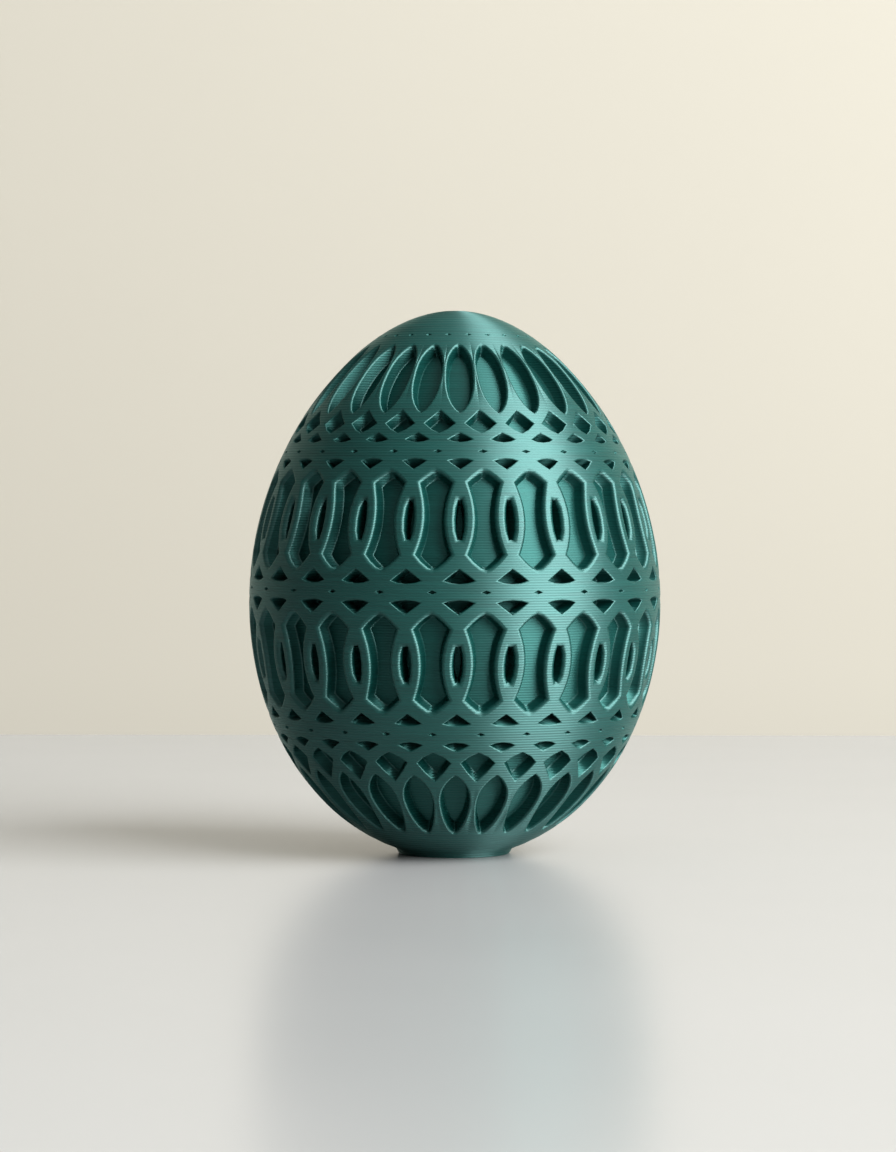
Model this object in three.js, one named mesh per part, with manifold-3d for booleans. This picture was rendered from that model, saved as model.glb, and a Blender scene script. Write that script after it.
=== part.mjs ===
// A decorative egg printed in one piece: an egg-shaped core with rings of window-shaped recesses
// cut into its surface, standing on a small flat foot. Millimetres, Z up, front towards -Y.

import * as THREE from 'three';
import { mergeVertices } from 'three/addons/utils/BufferGeometryUtils.js';
import Module from 'manifold-3d';

// The egg's outline
const WIDEST_RADIUS = 45;              // near the middle of its height
const MIDDLE_HEIGHT = 59;              // height of the outline's centre above the table
const HALF_LENGTH = 60;                // from the outline's centre to the crown
const SWELL = [-0.07, -0.042, -0.035]; // makes the lower half blunt and the upper half slim
const FOOT_RADIUS = 12;                // the flat disc that it stands on

// The relief
const COLUMNS = 25;                    // windows in each ring
const PITCH = 2 * Math.PI / COLUMNS;
const RELIEF = 2.7;                    // depth of the recesses
const CUT_IN = 7;                      // how far a cutting shape goes below the surface
const CUT_OUT = 3;                     // how far it stands out of the surface

// Facets of the lathe-turned shapes
const OUTER_FACETS = 2 * COLUMNS;
const FLOOR_FACETS = COLUMNS;
const FACET_HEIGHTS = [1.2, 3, 6.4, 14, 29, 44, 58.7, 73, 88, 97, 105, 111.2, 115, 117.7];
const FLATNESS = 0.01;                 // facets this close to one plane are joined

// The rings of windows from the foot to the crown. `shift` is 0 on the columns of slots and 0.5 halfway
// between them. `outline` is the window's right half from its lowest to its highest point: how far out,
// as a share of the space between two columns, and the height in millimetres.
const WINDOWS = [
  { name: 'lower petal', shift: 0, outline: [[0, 6.2], [0.37, 9.3], [0.37, 15.1], [0, 20.2]] },
  { name: 'kite', shift: 0.5, outline: [[0, 18.3], [0.4, 22.7], [0, 25]] },
  { name: 'low flat triangle', shift: 0, outline: [[0, 24.7], [0.31, 26.8]] },
  { name: 'low triangle', shift: 0, outline: [[0.31, 30.6], [0, 33.3]] },
  { name: 'lower bone', shift: 0.5, outline: [[0, 32.3], [0.4, 35.8], [0.22, 43.3], [0.4, 50.9], [0, 54.9]] },
  { name: 'lower slot', shift: 0, outline: [[0.08, 39.5], [0.08, 47]] },
  { name: 'triangle under the middle', shift: 0, outline: [[0, 53.5], [0.32, 56.8]] },
  { name: 'triangle over the middle', shift: 0, outline: [[0.32, 60.3], [0, 63.7]] },
  { name: 'upper bone', shift: 0.5, outline: [[0, 62.2], [0.4, 66.2], [0.22, 73.9], [0.4, 81.5], [0, 84.6]] },
  { name: 'upper slot', shift: 0, outline: [[0.08, 69.7], [0.08, 77.9]] },
  { name: 'high triangle', shift: 0, outline: [[0, 84], [0.3, 86.3]] },
  { name: 'high flat triangle', shift: 0, outline: [[0.31, 90.2], [0, 92.1]] },
  { name: 'diamond', shift: 0.5, outline: [[0, 91.6], [0.4, 93.9], [0, 97.1]] },
  { name: 'upper petal', shift: 0, outline: [[0, 95.7], [0.38, 101.4], [0.36, 107.8], [0, 111.1]] },
];

// Distance of the egg's surface from its axis at a height
function eggRadius(height) {
  const t = (height - MIDDLE_HEIGHT) / HALF_LENGTH;
  const swell = 1 + SWELL[0] * t + SWELL[1] * t ** 2 + SWELL[2] * t ** 3;
  return WIDEST_RADIUS * Math.sqrt(Math.max(0, 1 - t * t)) * swell;
}

// Angle of the surface's outward direction above the horizontal
function slope(height) {
  const step = 0.01;
  return Math.atan2(eggRadius(height - step) - eggRadius(height + step), 2 * step);
}

// A solid turned round the Z axis from (radius, height) points
function turned(points, facets) {
  const profile = points.map(([radius, height]) => new THREE.Vector2(radius, height));
  return new THREE.LatheGeometry(profile, facets).rotateX(Math.PI / 2);
}

// The whole outside of the egg, with its flat foot
function outside() {
  const surface = FACET_HEIGHTS.map((height) => [eggRadius(height), height]);
  const crown = [0, MIDDLE_HEIGHT + HALF_LENGTH];
  return turned([[0, 0], [FOOT_RADIUS, 0], ...surface, crown], OUTER_FACETS);
}

// The core whose surface is the floor of every recess, with its flats facing the columns of slots
function core() {
  const surface = FACET_HEIGHTS.slice(1).map((height) => [
    eggRadius(height) - RELIEF * Math.cos(slope(height)),
    height - RELIEF * Math.sin(slope(height)),
  ]);
  const bottom = [0, surface[0][1]];
  const top = [0, MIDDLE_HEIGHT + HALF_LENGTH - RELIEF];
  return turned([bottom, ...surface, top], FLOOR_FACETS).rotateZ(PITCH / 2);
}

// A point of the egg's surface, `turn` radians round from the front
function onSurface(turn, height) {
  const radius = eggRadius(height);
  return new THREE.Vector3(radius * Math.sin(turn), -radius * Math.cos(turn), height);
}

// The prism that cuts one window square to the surface, `turn` radians round from the front
function cutter(outline, turn) {
  const middle = (outline[0][1] + outline.at(-1)[1]) / 2;
  const centre = onSurface(turn, middle);
  const across = new THREE.Vector3(Math.cos(turn), Math.sin(turn), 0);
  const level = new THREE.Vector3(Math.sin(turn), -Math.cos(turn), 0);
  const outward = level.multiplyScalar(Math.cos(slope(middle)));
  outward.z = Math.sin(slope(middle));
  const up = new THREE.Vector3().crossVectors(outward, across);
  const flat = ([share, height], side) => {
    const arm = onSurface(turn + side * share * PITCH, height).sub(centre);
    return new THREE.Vector2(arm.dot(across), arm.dot(up));
  };
  const right = outline.map((point) => flat(point, 1));
  const left = outline.filter(([share]) => share > 0).map((point) => flat(point, -1)).reverse();
  const window = new THREE.Shape([...right, ...left]);
  const prism = new THREE.ExtrudeGeometry(window, { depth: CUT_IN + CUT_OUT, bevelEnabled: false });
  prism.translate(0, 0, -CUT_IN);
  return prism.applyMatrix4(new THREE.Matrix4().makeBasis(across, up, outward).setPosition(centre));
}

// Every window of every ring
function cutters() {
  return WINDOWS.flatMap(({ shift, outline }) =>
    Array.from({ length: COLUMNS }, (_, column) => cutter(outline, (column + shift) * PITCH)));
}

const wasm = await Module();
wasm.setup();

function toManifold(geometry) {
  geometry.deleteAttribute('normal');
  geometry.deleteAttribute('uv');
  const merged = mergeVertices(geometry, 1e-4);
  return new wasm.Manifold(new wasm.Mesh({
    numProp: 3,
    vertProperties: new Float32Array(merged.attributes.position.array),
    triVerts: new Uint32Array(merged.index.array),
  }));
}

function toGeometry(manifold) {
  const mesh = manifold.getMesh();
  const geometry = new THREE.BufferGeometry();
  geometry.setAttribute('position', new THREE.BufferAttribute(mesh.vertProperties, 3));
  geometry.setIndex(new THREE.BufferAttribute(mesh.triVerts, 1));
  geometry.computeVertexNormals();
  return geometry;
}

// The egg with its recesses
function egg() {
  const recesses = wasm.Manifold.union(cutters().map(toManifold)).subtract(toManifold(core()));
  const silk = new THREE.MeshStandardMaterial({ color: 0x2b746e, roughness: 0.38, metalness: 0.1 });
  const relief = toManifold(outside()).subtract(recesses).asOriginal().simplify(FLATNESS);
  const mesh = new THREE.Mesh(toGeometry(relief), silk);
  mesh.name = 'egg';
  return mesh;
}

const group = new THREE.Group();
group.add(egg());
export default group;
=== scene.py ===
import math
import bmesh
import bpy
from mathutils import Matrix, Vector


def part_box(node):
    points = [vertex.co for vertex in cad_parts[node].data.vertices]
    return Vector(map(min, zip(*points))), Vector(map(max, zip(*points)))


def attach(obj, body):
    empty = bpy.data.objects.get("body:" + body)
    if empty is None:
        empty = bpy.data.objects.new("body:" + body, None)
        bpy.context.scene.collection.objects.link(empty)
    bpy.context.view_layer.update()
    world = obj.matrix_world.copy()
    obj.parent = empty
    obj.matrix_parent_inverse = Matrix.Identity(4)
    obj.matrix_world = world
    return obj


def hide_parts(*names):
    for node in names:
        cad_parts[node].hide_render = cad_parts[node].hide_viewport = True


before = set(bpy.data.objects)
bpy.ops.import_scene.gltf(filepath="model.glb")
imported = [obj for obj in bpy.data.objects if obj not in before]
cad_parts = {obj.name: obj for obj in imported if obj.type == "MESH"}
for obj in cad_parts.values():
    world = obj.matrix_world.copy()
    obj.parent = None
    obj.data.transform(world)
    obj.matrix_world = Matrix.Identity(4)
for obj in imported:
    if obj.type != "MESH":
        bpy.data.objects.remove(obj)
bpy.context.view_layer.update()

# ------------------------------------------------------------------------------------------------
# The egg
# A decorative egg printed in one piece from silk PLA, foot down, in flat layers. Rings of windows
# are sunk into its skin, each with rounded rims, steep walls and a floor that follows the skin.
# ------------------------------------------------------------------------------------------------

# Millimetres
CROWN = round(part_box("egg")[1].z * 1000, 3)  # height of the top, rounded so that its pole closes
FOOT_RIM = 1.2                          # height of the foot's nearly upright rim
FOOT_RADIUS = 12
FOOT_BEVEL = 0.3
WIDEST_RADIUS = 45
MIDDLE_HEIGHT = CROWN - 60              # height of the outline's centre
SWELL = (-0.07, -0.042, -0.035)         # blunt below, slim above
COLUMNS = 25
PITCH = 2 * math.pi / COLUMNS
RELIEF = 2.7                            # depth of the windows
SPREAD = 10                             # width of one column while the pattern is drawn flat
TWIST = math.radians(0.018)             # how far the pattern turns round the axis per millimetre of height
UNTURNED_HEIGHT = 62                    # height at which a column of slots faces the front


def skin_radius(height):
    """Distance of the egg's skin from its axis."""
    t = min((height - MIDDLE_HEIGHT) / (CROWN - MIDDLE_HEIGHT), 1)
    swell = 1 + SWELL[0] * t + SWELL[1] * t ** 2 + SWELL[2] * t ** 3
    return WIDEST_RADIUS * math.sqrt(1 - t * t) * swell


def curve(start, middle, end, steps):
    """Points of the curve from start through middle to end, without its last point."""
    pull = [2 * m - (a + b) / 2 for a, m, b in zip(start, middle, end)]
    points = []
    for step in range(steps):
        t = step / steps
        points.append(tuple((1 - t) ** 2 * a + 2 * t * (1 - t) * c + t * t * b
                            for a, c, b in zip(start, pull, end)))
    return points


def bone(bottom, low_corner, waist, high_corner, top):
    """Half of a tall window between two lens-shaped bars, pinched at its waist."""
    low_middle = (0.2, bottom + 0.36 * (low_corner - bottom))
    high_middle = (0.21, top - 0.4 * (top - high_corner))
    return (curve((0, bottom), low_middle, (0.42, low_corner), 3)
            + curve((0.42, low_corner), (0.26, waist), (0.42, high_corner), 8)
            + curve((0.42, high_corner), high_middle, (0, top), 3) + [(0, top)])


def slot(bottom, top):
    """Half of the narrow window inside a lens-shaped bar."""
    return ([(0, bottom)] + curve((0.1, bottom), (0.165, (bottom + top) / 2), (0.1, top), 4)
            + [(0.1, top), (0, top)])


def triangle(tip, corner, flat):
    """Half of a triangle: its tip, the share and height of its corner, its bulging side's middle."""
    side = curve((0, tip), (corner[0] / 2, (tip + corner[1]) / 2), corner, 2)
    bulge = curve(corner, (corner[0] / 2, flat - 0.25 * (flat - corner[1])), (0, flat), 2)
    half = side + bulge + [(0, flat)]
    return half if flat > tip else half[::-1]


def peephole(height, half_width, half_height):
    """Half of a tiny diamond."""
    return [(0, height - half_height), (half_width, height), (0, height + half_height)]


# Rims: radius of the rounding and the number of steps in it, slant of the wall, depth of the floor and
# fillet round it. The triangles and slots go deeper than the rest, so that they look nearly black.
DEEP = dict(round=0.25, steps=4, slant=0.22, depth=RELIEF, fillet=0.2)
DARK = dict(round=0.25, steps=4, slant=0.12, depth=4.2, fillet=0.2)
BONE = dict(round=0.8, steps=4, slant=0.42, depth=RELIEF, fillet=0.2)
SLOT = dict(round=0.8, steps=4, slant=0.05, depth=4.5, fillet=0.2)
PETAL = dict(round=0.45, steps=4, slant=0.25, depth=RELIEF, fillet=0.2)
TINY = dict(round=0.1, steps=2, slant=0.05, depth=1, fillet=0.02)
FLAT_EDGE = 0.03                        # level strip round each window that keeps the skin's shading even

# The windows from the foot to the crown: the side of the half cell they lie on (0 for the columns of
# slots, 0.5 for those of bones), the rim, the half outline from bottom to top, whose points are shares
# of a column and heights, and the heights at which the floor is cut across to bend with the skin
WINDOWS = [
    (0, PETAL, [(0, 6.1)] + curve((0.1, 6.1), (0.35, 8.7), (0.45, 12.7), 5)
     + curve((0.45, 12.7), (0.36, 16.8), (0, 20.2), 6) + [(0, 20.2)], (9.7, 12.7, 16.2)),
    (0.5, DEEP, [(0, 17.9), (0.24, 20.3)]
     + curve((0.42, 22.5), (0.24, 23.9), (0, 25), 2) + [(0, 25)], (22.5,)),
    (0, DARK, triangle(24.6, (0.33, 26.35), 27.15), ()),
    (0.5, TINY, peephole(28.65, 0.12, 0.5), ()),
    (0, DARK, triangle(33.3, (0.33, 30.85), 30.2), ()),
    (0.5, BONE, bone(32.3, 35.8, 43.3, 50.9, 54.95), (35.8, 39.5, 43.3, 47.1, 50.9)),
    (0, SLOT, slot(38.7, 47.9), ()),
    (0, DARK, triangle(53.45, (0.34, 56.4), 57.15), ()),
    (0.5, TINY, peephole(58.5, 0.115, 0.55), ()),
    (0, DARK, triangle(63.7, (0.34, 60.8), 59.95), ()),
    (0.5, BONE, bone(62.2, 66.2, 73.9, 81.5, 84.65), (66.2, 70, 73.9, 77.7, 81.5)),
    (0, SLOT, slot(68.7, 78.6), ()),
    (0, DARK, triangle(83.8, (0.32, 85.95), 86.6), ()),
    (0.5, TINY, peephole(87.85, 0.13, 0.5), ()),
    (0, DARK, triangle(92.1, (0.34, 90.35), 89.55), ()),
    (0.5, DEEP, [(0, 91.45), (0.2, 92.3), (0.42, 93.75), (0.2, 95.4), (0, 97)], (93.75,)),
    (0, PETAL, curve((0, 95.5), (0.35, 99.2), (0.49, 105), 6)
     + curve((0.49, 105), (0.4, 109), (0, 111.3), 5) + [(0, 111.3)], (99.2, 102, 105, 108)),
    (0.5, TINY, peephole(113.1, 0.2, 0.3), ()),
]
# Heights at which the net of bars is cut across, so that it bends with the skin. Near a window's corner
# a cut goes through the corner itself, because a very short edge folds when a rim is drawn in.
NET_CUTS = [2.4, 4, 5.6, 12.7, 22.5, 28.65, 35.8, 43.3, 50.9, 58.5, 66.2, 73.9, 81.5, 87.85, 93.75, 105,
            111.7, 113.1, 114.6, 115.8, 116.8, 117.6, 118.2, 118.6, 118.85]


def add_face(bm, points, side=0):
    """A flat face through the (share, height) points of a half cell."""
    across = [(share if side == 0 else side - share, height) for share, height in points]
    return bm.faces.new([bm.verts.new((share * SPREAD, 0, height)) for share, height in across])


def cut_across(bm, faces, heights):
    """Cut faces along level lines; returns the faces that they become."""
    faces = list(faces)
    for height in heights:
        edges = list({e for f in faces for e in f.edges})
        verts = list({v for f in faces for v in f.verts})
        cut = bmesh.ops.bisect_plane(bm, geom=faces + edges + verts, dist=1e-4, plane_co=(0, 0, height),
                                     plane_no=(0, 0, 1))
        faces = [g for g in cut["geom"] if isinstance(g, bmesh.types.BMFace)]
    return faces


egg = bmesh.new()
window_of = egg.faces.layers.int.new("window")

# Half a cell, drawn flat: the net of bars, then the windows in it
border = [(0, FOOT_RIM)]
for side, _, outline, _ in WINDOWS:
    if side == 0:
        border += outline
border += [(0, CROWN), (0.5, CROWN)]
for side, _, outline, _ in reversed(WINDOWS):
    if side == 0.5:
        border += [(0.5 - share, height) for share, height in reversed(outline)]
border += [(0.5, FOOT_RIM)]
add_face(egg, border)
for number, (side, _, outline, _) in enumerate(WINDOWS, start=1):
    add_face(egg, outline, side)[window_of] = number
bmesh.ops.remove_doubles(egg, verts=egg.verts, dist=1e-5)
cut_across(egg, [f for f in egg.faces if not f[window_of]], NET_CUTS)
for number, (_, _, _, cuts) in enumerate(WINDOWS, start=1):
    cut_across(egg, [f for f in egg.faces if f[window_of] == number], cuts)

# The other half of the cell, bent round the axis, then all the columns
bmesh.ops.mirror(egg, geom=egg.verts[:] + egg.edges[:] + egg.faces[:], matrix=Matrix(), merge_dist=1e-4,
                 axis="X")
bmesh.ops.triangulate(egg, faces=[f for f in egg.faces if not f[window_of]], ngon_method="BEAUTY")
for vert in egg.verts:
    angle = vert.co.x / SPREAD * PITCH + TWIST * (vert.co.z - UNTURNED_HEIGHT)
    radius = skin_radius(vert.co.z)
    vert.co = (radius * math.sin(angle), -radius * math.cos(angle), vert.co.z)
bmesh.ops.spin(egg, geom=egg.verts[:] + egg.edges[:] + egg.faces[:], axis=(0, 0, 1),
               angle=2 * math.pi - PITCH, steps=COLUMNS - 1, use_duplicate=True)
bmesh.ops.remove_doubles(egg, verts=egg.verts, dist=0.005)

# The foot's rim, its small bevel and the flat under it
for radius, height in ((FOOT_RADIUS + FOOT_BEVEL, 0.25), (FOOT_RADIUS, 0)):
    rim_edges = [e for e in egg.edges if e.is_boundary]
    scale = radius / Vector(rim_edges[0].verts[0].co[:2]).length
    turned = bmesh.ops.extrude_edge_only(egg, edges=rim_edges)
    for vert in (g for g in turned["geom"] if isinstance(g, bmesh.types.BMVert)):
        vert.co = (vert.co.x * scale, vert.co.y * scale, height)
bmesh.ops.holes_fill(egg, edges=[e for e in egg.edges if e.is_boundary], sides=0)
bmesh.ops.recalc_face_normals(egg, faces=egg.faces)


def slope(height):
    """Angle of the skin's outward direction above the horizontal."""
    step = 0.01
    return math.atan2(skin_radius(height - step) - skin_radius(height + step), 2 * step)


def outward(point, depth):
    """The skin's outward direction over a point that lies a depth below it."""
    height = point.z
    for _ in range(3):
        height = point.z + depth * math.sin(slope(height))
    level = Vector((point.x, point.y, 0)).normalized() * math.cos(slope(height))
    return level + Vector((0, 0, math.sin(slope(height))))


def sink(bm, floors, width, depth, deeper):
    """Draw floors in from their edges by a width, and move them from one depth to a deeper one."""
    ring = bmesh.ops.inset_region(bm, faces=floors, use_boundary=True, use_even_offset=True,
                                  thickness=width)
    for vert in {v for f in floors for v in f.verts}:
        vert.co -= outward(vert.co, depth) * (deeper - depth)
    bm.normal_update()
    return ring["faces"]


# Rims, walls and the small fillet round every floor. The walls and floors take the second material, a
# darker copy of the silk that paints in the shade of the recesses.
for rim in (DEEP, DARK, BONE, SLOT, PETAL, TINY):
    floors = [f for f in egg.faces if f[window_of] and WINDOWS[f[window_of] - 1][1] is rim]
    radius = rim["round"]
    wall_foot = rim["depth"] - rim["fillet"]
    egg.normal_update()
    sink(egg, floors, FLAT_EDGE, 0, 0)
    for step in range(rim["steps"]):
        old, new = (0.5 * math.pi * s / rim["steps"] for s in (step, step + 1))
        sink(egg, floors, radius * (math.sin(new) - math.sin(old)), radius * (1 - math.cos(old)),
             radius * (1 - math.cos(new)))
    walls = sink(egg, floors, rim["slant"], radius, wall_foot)
    sink(egg, floors, rim["fillet"], wall_foot, rim["depth"])
    # painted shade: the walls and floors get the darker copy of the silk
    for face in walls + floors:
        face.material_index = 1
    floor_set = set(floors)
    for edge in {e for f in floors for e in f.edges}:
        edge.smooth = all(f in floor_set for f in edge.link_faces)
for face in egg.faces:
    face.smooth = True
bmesh.ops.scale(egg, verts=egg.verts, vec=(0.001, 0.001, 0.001))

egg_mesh = bpy.data.meshes.new("silk_egg")
egg.to_mesh(egg_mesh)
egg.free()
silk_egg = bpy.data.objects.new("silk_egg", egg_mesh)
bpy.context.collection.objects.link(silk_egg)
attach(silk_egg, "root")
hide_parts("egg")


def rgb(hex_colour):
    """Linear colour of an sRGB hex value."""
    channels = [int(hex_colour[i:i + 2], 16) / 255 for i in (1, 3, 5)]
    return [c / 12.92 if c <= 0.04045 else ((c + 0.055) / 1.055) ** 2.4 for c in channels] + [1]


def new_material(name):
    """An empty material and its node tree."""
    material = bpy.data.materials.new(name)
    material.use_nodes = True
    material.node_tree.nodes.clear()
    return material, material.node_tree


def add_node(tree, kind, settings, inputs):
    """A node with its settings; each input is a value or the socket linked to it."""
    node = tree.nodes.new(kind)
    for key, value in settings.items():
        setattr(node, key, value)
    for key, value in inputs.items():
        if isinstance(value, bpy.types.NodeSocket):
            tree.links.new(value, node.inputs[key])
        else:
            node.inputs[key].default_value = value
    return node


# Metres. The ridges are a little coarser than real ones, so that they show.
LAYER = 0.00055
RIDGE_HEIGHT = 0.000032


def silk_pla(name, dark, light, sheen):
    """Silk PLA, printed: a pearly sheen that fine level ridges stretch upright, and a colour that
    varies a little from layer to layer."""
    silk, tree = new_material(name)
    place = add_node(tree, "ShaderNodeTexCoord", {}, {}).outputs["Object"]
    axes = add_node(tree, "ShaderNodeSeparateXYZ", {}, {0: place})
    turns = add_node(tree, "ShaderNodeMath", {"operation": "MULTIPLY"},
                     {0: axes.outputs["Z"], 1: 2 * math.pi / LAYER})
    ridges = add_node(tree, "ShaderNodeMath", {"operation": "SINE"}, {0: turns.outputs[0]})
    layers = add_node(tree, "ShaderNodeMapping", {}, {"Vector": place, "Scale": (60, 60, 2000)})
    bands = add_node(tree, "ShaderNodeTexNoise", {}, {"Vector": layers.outputs[0], "Scale": 1, "Detail": 2})
    cloud = add_node(tree, "ShaderNodeTexNoise", {}, {"Vector": place, "Scale": 60, "Detail": 3})
    height = add_node(tree, "ShaderNodeMath", {"operation": "MULTIPLY_ADD"},
                      {0: ridges.outputs[0], 1: 0.8, 2: bands.outputs["Fac"]})
    bump = add_node(tree, "ShaderNodeBump", {},
                    {"Strength": 1, "Distance": RIDGE_HEIGHT, "Height": height.outputs[0]})
    tint = add_node(tree, "ShaderNodeMix", {"data_type": "RGBA"},
                    {"Factor": bands.outputs["Fac"], 6: rgb(dark), 7: rgb(light)})
    gloss = add_node(tree, "ShaderNodeMapRange", {},
                     {"Value": cloud.outputs["Fac"], "To Min": 0.5, "To Max": 0.6})
    upright = add_node(tree, "ShaderNodeCombineXYZ", {}, {"Z": 1})
    shader = add_node(tree, "ShaderNodeBsdfPrincipled", {}, {
        "Base Color": tint.outputs[2], "Roughness": gloss.outputs[0], "Metallic": 0.42, "IOR": 1.7,
        "Specular IOR Level": 1, "Specular Tint": rgb(sheen), "Anisotropic": 0.85,
        "Tangent": upright.outputs[0], "Normal": bump.outputs[0]})
    add_node(tree, "ShaderNodeOutputMaterial", {}, {"Surface": shader.outputs[0]})
    return silk


egg_mesh.materials.append(silk_pla("silk_pla_skin", "#022c28", "#0c4843", "#c6f6f5"))
# A darker copy of the silk for the walls and floors of the windows, with a darker, more saturated sheen:
# painted shade in the recesses.
egg_mesh.materials.append(silk_pla("silk_pla_recess_painted_shade", "#022623", "#093a36", "#8fdcd6"))

# ------------------------------------------------------------------------------------------------
# The table and the wall behind it
# A table top of satin laminate, pale grey, and a cream painted wall well behind its far edge.
# ------------------------------------------------------------------------------------------------

# Metres from the egg's axis
TABLE_FRONT = -1.5
TABLE_END = 0.373
TABLE_SIDE = 2.5
WALL_DISTANCE = 1.3
WALL_SIDE = 4


def stage_plane(name, corners, material):
    """A flat stage piece through its corners."""
    mesh = bpy.data.meshes.new(name)
    mesh.from_pydata(corners, [], [range(len(corners))])
    mesh.materials.append(material)
    plane = bpy.data.objects.new(name, mesh)
    bpy.context.collection.objects.link(plane)


# Satin laminate: a soft blurred reflection of the egg and of the wall
laminate, tree = new_material("satin_laminate")
place = add_node(tree, "ShaderNodeTexCoord", {}, {}).outputs["Object"]
mottle = add_node(tree, "ShaderNodeTexNoise", {}, {"Vector": place, "Scale": 9, "Detail": 2})
colour = add_node(tree, "ShaderNodeMix", {"data_type": "RGBA"},
                  {"Factor": mottle.outputs["Fac"], 6: rgb("#939595"), 7: rgb("#979898")})
gloss = add_node(tree, "ShaderNodeMapRange", {},
                 {"Value": mottle.outputs["Fac"], "To Min": 0.23, "To Max": 0.28})
shader = add_node(tree, "ShaderNodeBsdfPrincipled", {}, {
    "Base Color": colour.outputs[2], "Roughness": gloss.outputs[0], "IOR": 1.5})
add_node(tree, "ShaderNodeOutputMaterial", {}, {"Surface": shader.outputs[0]})
stage_plane("table", [(-TABLE_SIDE, TABLE_FRONT, 0), (TABLE_SIDE, TABLE_FRONT, 0),
                      (TABLE_SIDE, TABLE_END, 0), (-TABLE_SIDE, TABLE_END, 0)], laminate)

# Matt cream paint, faintly uneven
paint, tree = new_material("matt_cream_paint")
place = add_node(tree, "ShaderNodeTexCoord", {}, {}).outputs["Object"]
mottle = add_node(tree, "ShaderNodeTexNoise", {}, {"Vector": place, "Scale": 3, "Detail": 2})
colour = add_node(tree, "ShaderNodeMix", {"data_type": "RGBA"},
                  {"Factor": mottle.outputs["Fac"], 6: rgb("#aeaa9e"), 7: rgb("#b0aca0")})
shader = add_node(tree, "ShaderNodeBsdfPrincipled", {}, {
    "Base Color": colour.outputs[2], "Roughness": 0.9, "IOR": 1.5})
add_node(tree, "ShaderNodeOutputMaterial", {}, {"Surface": shader.outputs[0]})
stage_plane("wall", [(-WALL_SIDE, WALL_DISTANCE, -0.8), (WALL_SIDE, WALL_DISTANCE, -0.8),
                     (WALL_SIDE, WALL_DISTANCE, 2), (-WALL_SIDE, WALL_DISTANCE, 2)], paint)

# ------------------------------------------------------------------------------------------------
# Light
# One broad soft window light from the right and in front, and a pale room that is dimmer low down and
# on the left.
# ------------------------------------------------------------------------------------------------


def aim(obj, place, target):
    """Stand a lamp at a place, facing a target."""
    obj.location = place
    obj.rotation_euler = (Vector(target) - Vector(place)).to_track_quat("-Z", "Y").to_euler()


def around(azimuth, elevation, distance):
    """A point seen from the egg: degrees to the right of the front, degrees up, metres away."""
    turn, rise = math.radians(azimuth), math.radians(elevation)
    level = distance * math.cos(rise)
    return (level * math.sin(turn), -level * math.cos(turn), distance * math.sin(rise))


key_data = bpy.data.lights.new("window_light", "AREA")
key_data.shape = "RECTANGLE"
key_data.size = 2
key_data.size_y = 2.2
key_data.energy = 215
key = bpy.data.objects.new("window_light", key_data)
bpy.context.collection.objects.link(key)
aim(key, around(55, 28, 2.2), (0, 0, 0.06))

room = bpy.data.worlds.new("pale_room")
bpy.context.scene.world = room
room.use_nodes = True
sky = room.node_tree
direction = add_node(sky, "ShaderNodeTexCoord", {}, {})
towards_light = add_node(sky, "ShaderNodeVectorMath", {"operation": "DOT_PRODUCT"},
                         {0: direction.outputs["Generated"], 1: (0.45, 0, 0.9)})
strength = add_node(sky, "ShaderNodeMapRange", {"interpolation_type": "SMOOTHSTEP"},
                    {"Value": towards_light.outputs["Value"], "From Min": 0.1, "From Max": 0.9,
                     "To Min": 0.05, "To Max": 0.95})
sky.nodes["Background"].inputs["Color"].default_value = rgb("#f6f4f0")
sky.links.new(strength.outputs[0], sky.nodes["Background"].inputs["Strength"])

# ------------------------------------------------------------------------------------------------
# Camera
# Far back with a long lens, two thirds of the way up the egg, looking slightly down.
# ------------------------------------------------------------------------------------------------

FOCAL = 3.038                           # focal length in image heights
DISTANCE = 0.7683
CAMERA_HEIGHT = 0.07916
camera_data = bpy.data.cameras.new("camera")
camera_data.sensor_fit = "VERTICAL"
camera_data.sensor_height = 36
camera_data.lens = camera_data.sensor_height * FOCAL
camera = bpy.data.objects.new("camera", camera_data)
bpy.context.collection.objects.link(camera)
orbit = Matrix.Rotation(math.radians(-1.1), 4, "Z")
stand = Matrix.Translation((-0.0015, -DISTANCE, CAMERA_HEIGHT))
tilt = Matrix.Rotation(math.radians(90 - 1.365), 4, "X")
roll = Matrix.Rotation(math.radians(0.15), 4, "Z")
camera.matrix_world = orbit @ stand @ tilt @ roll
bpy.context.scene.camera = camera
bpy.context.scene.view_settings.view_transform = "Standard"
